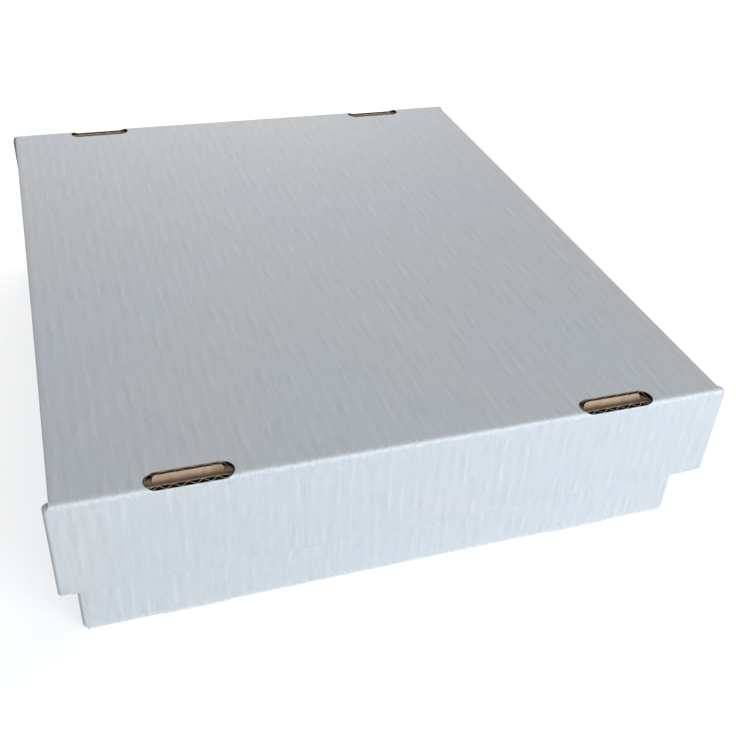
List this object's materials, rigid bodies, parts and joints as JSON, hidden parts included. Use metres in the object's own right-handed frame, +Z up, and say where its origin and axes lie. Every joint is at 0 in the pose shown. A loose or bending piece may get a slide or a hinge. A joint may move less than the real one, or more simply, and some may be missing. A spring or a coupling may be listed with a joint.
{
  "type": "trading card storage box",
  "caption": "Flat white corrugated box with a full-width lid on a smaller tray, rolled double end walls locked by tabs, and upright dividers between long card rows.",
  "frame": {"origin": "centre of the tray's underside, on the surface that the box stands on", "axes": "+X to the right along the end walls that carry the lock slots, +Y to the back along the card rows, +Z up, the way the lid lifts off"},
  "size_m": [0.4, 0.47, 0.1123],
  "materials": {
    "white_board": "matt white liner with flute lines showing through"
  },
  "bodies": {
    "tray": {"tray": "white_board", "row_divider_1": "white_board", "row_divider_2": "white_board", "row_divider_3": "white_board", "row_divider_4": "white_board"},
    "lid": {"lid": "white_board"}
  },
  "joints": [
    {"name": "lid_lift", "type": "slide", "parent": "tray", "child": "lid", "axis": [0, 0, 1], "range_m": [0, 0.1]}
  ]
}
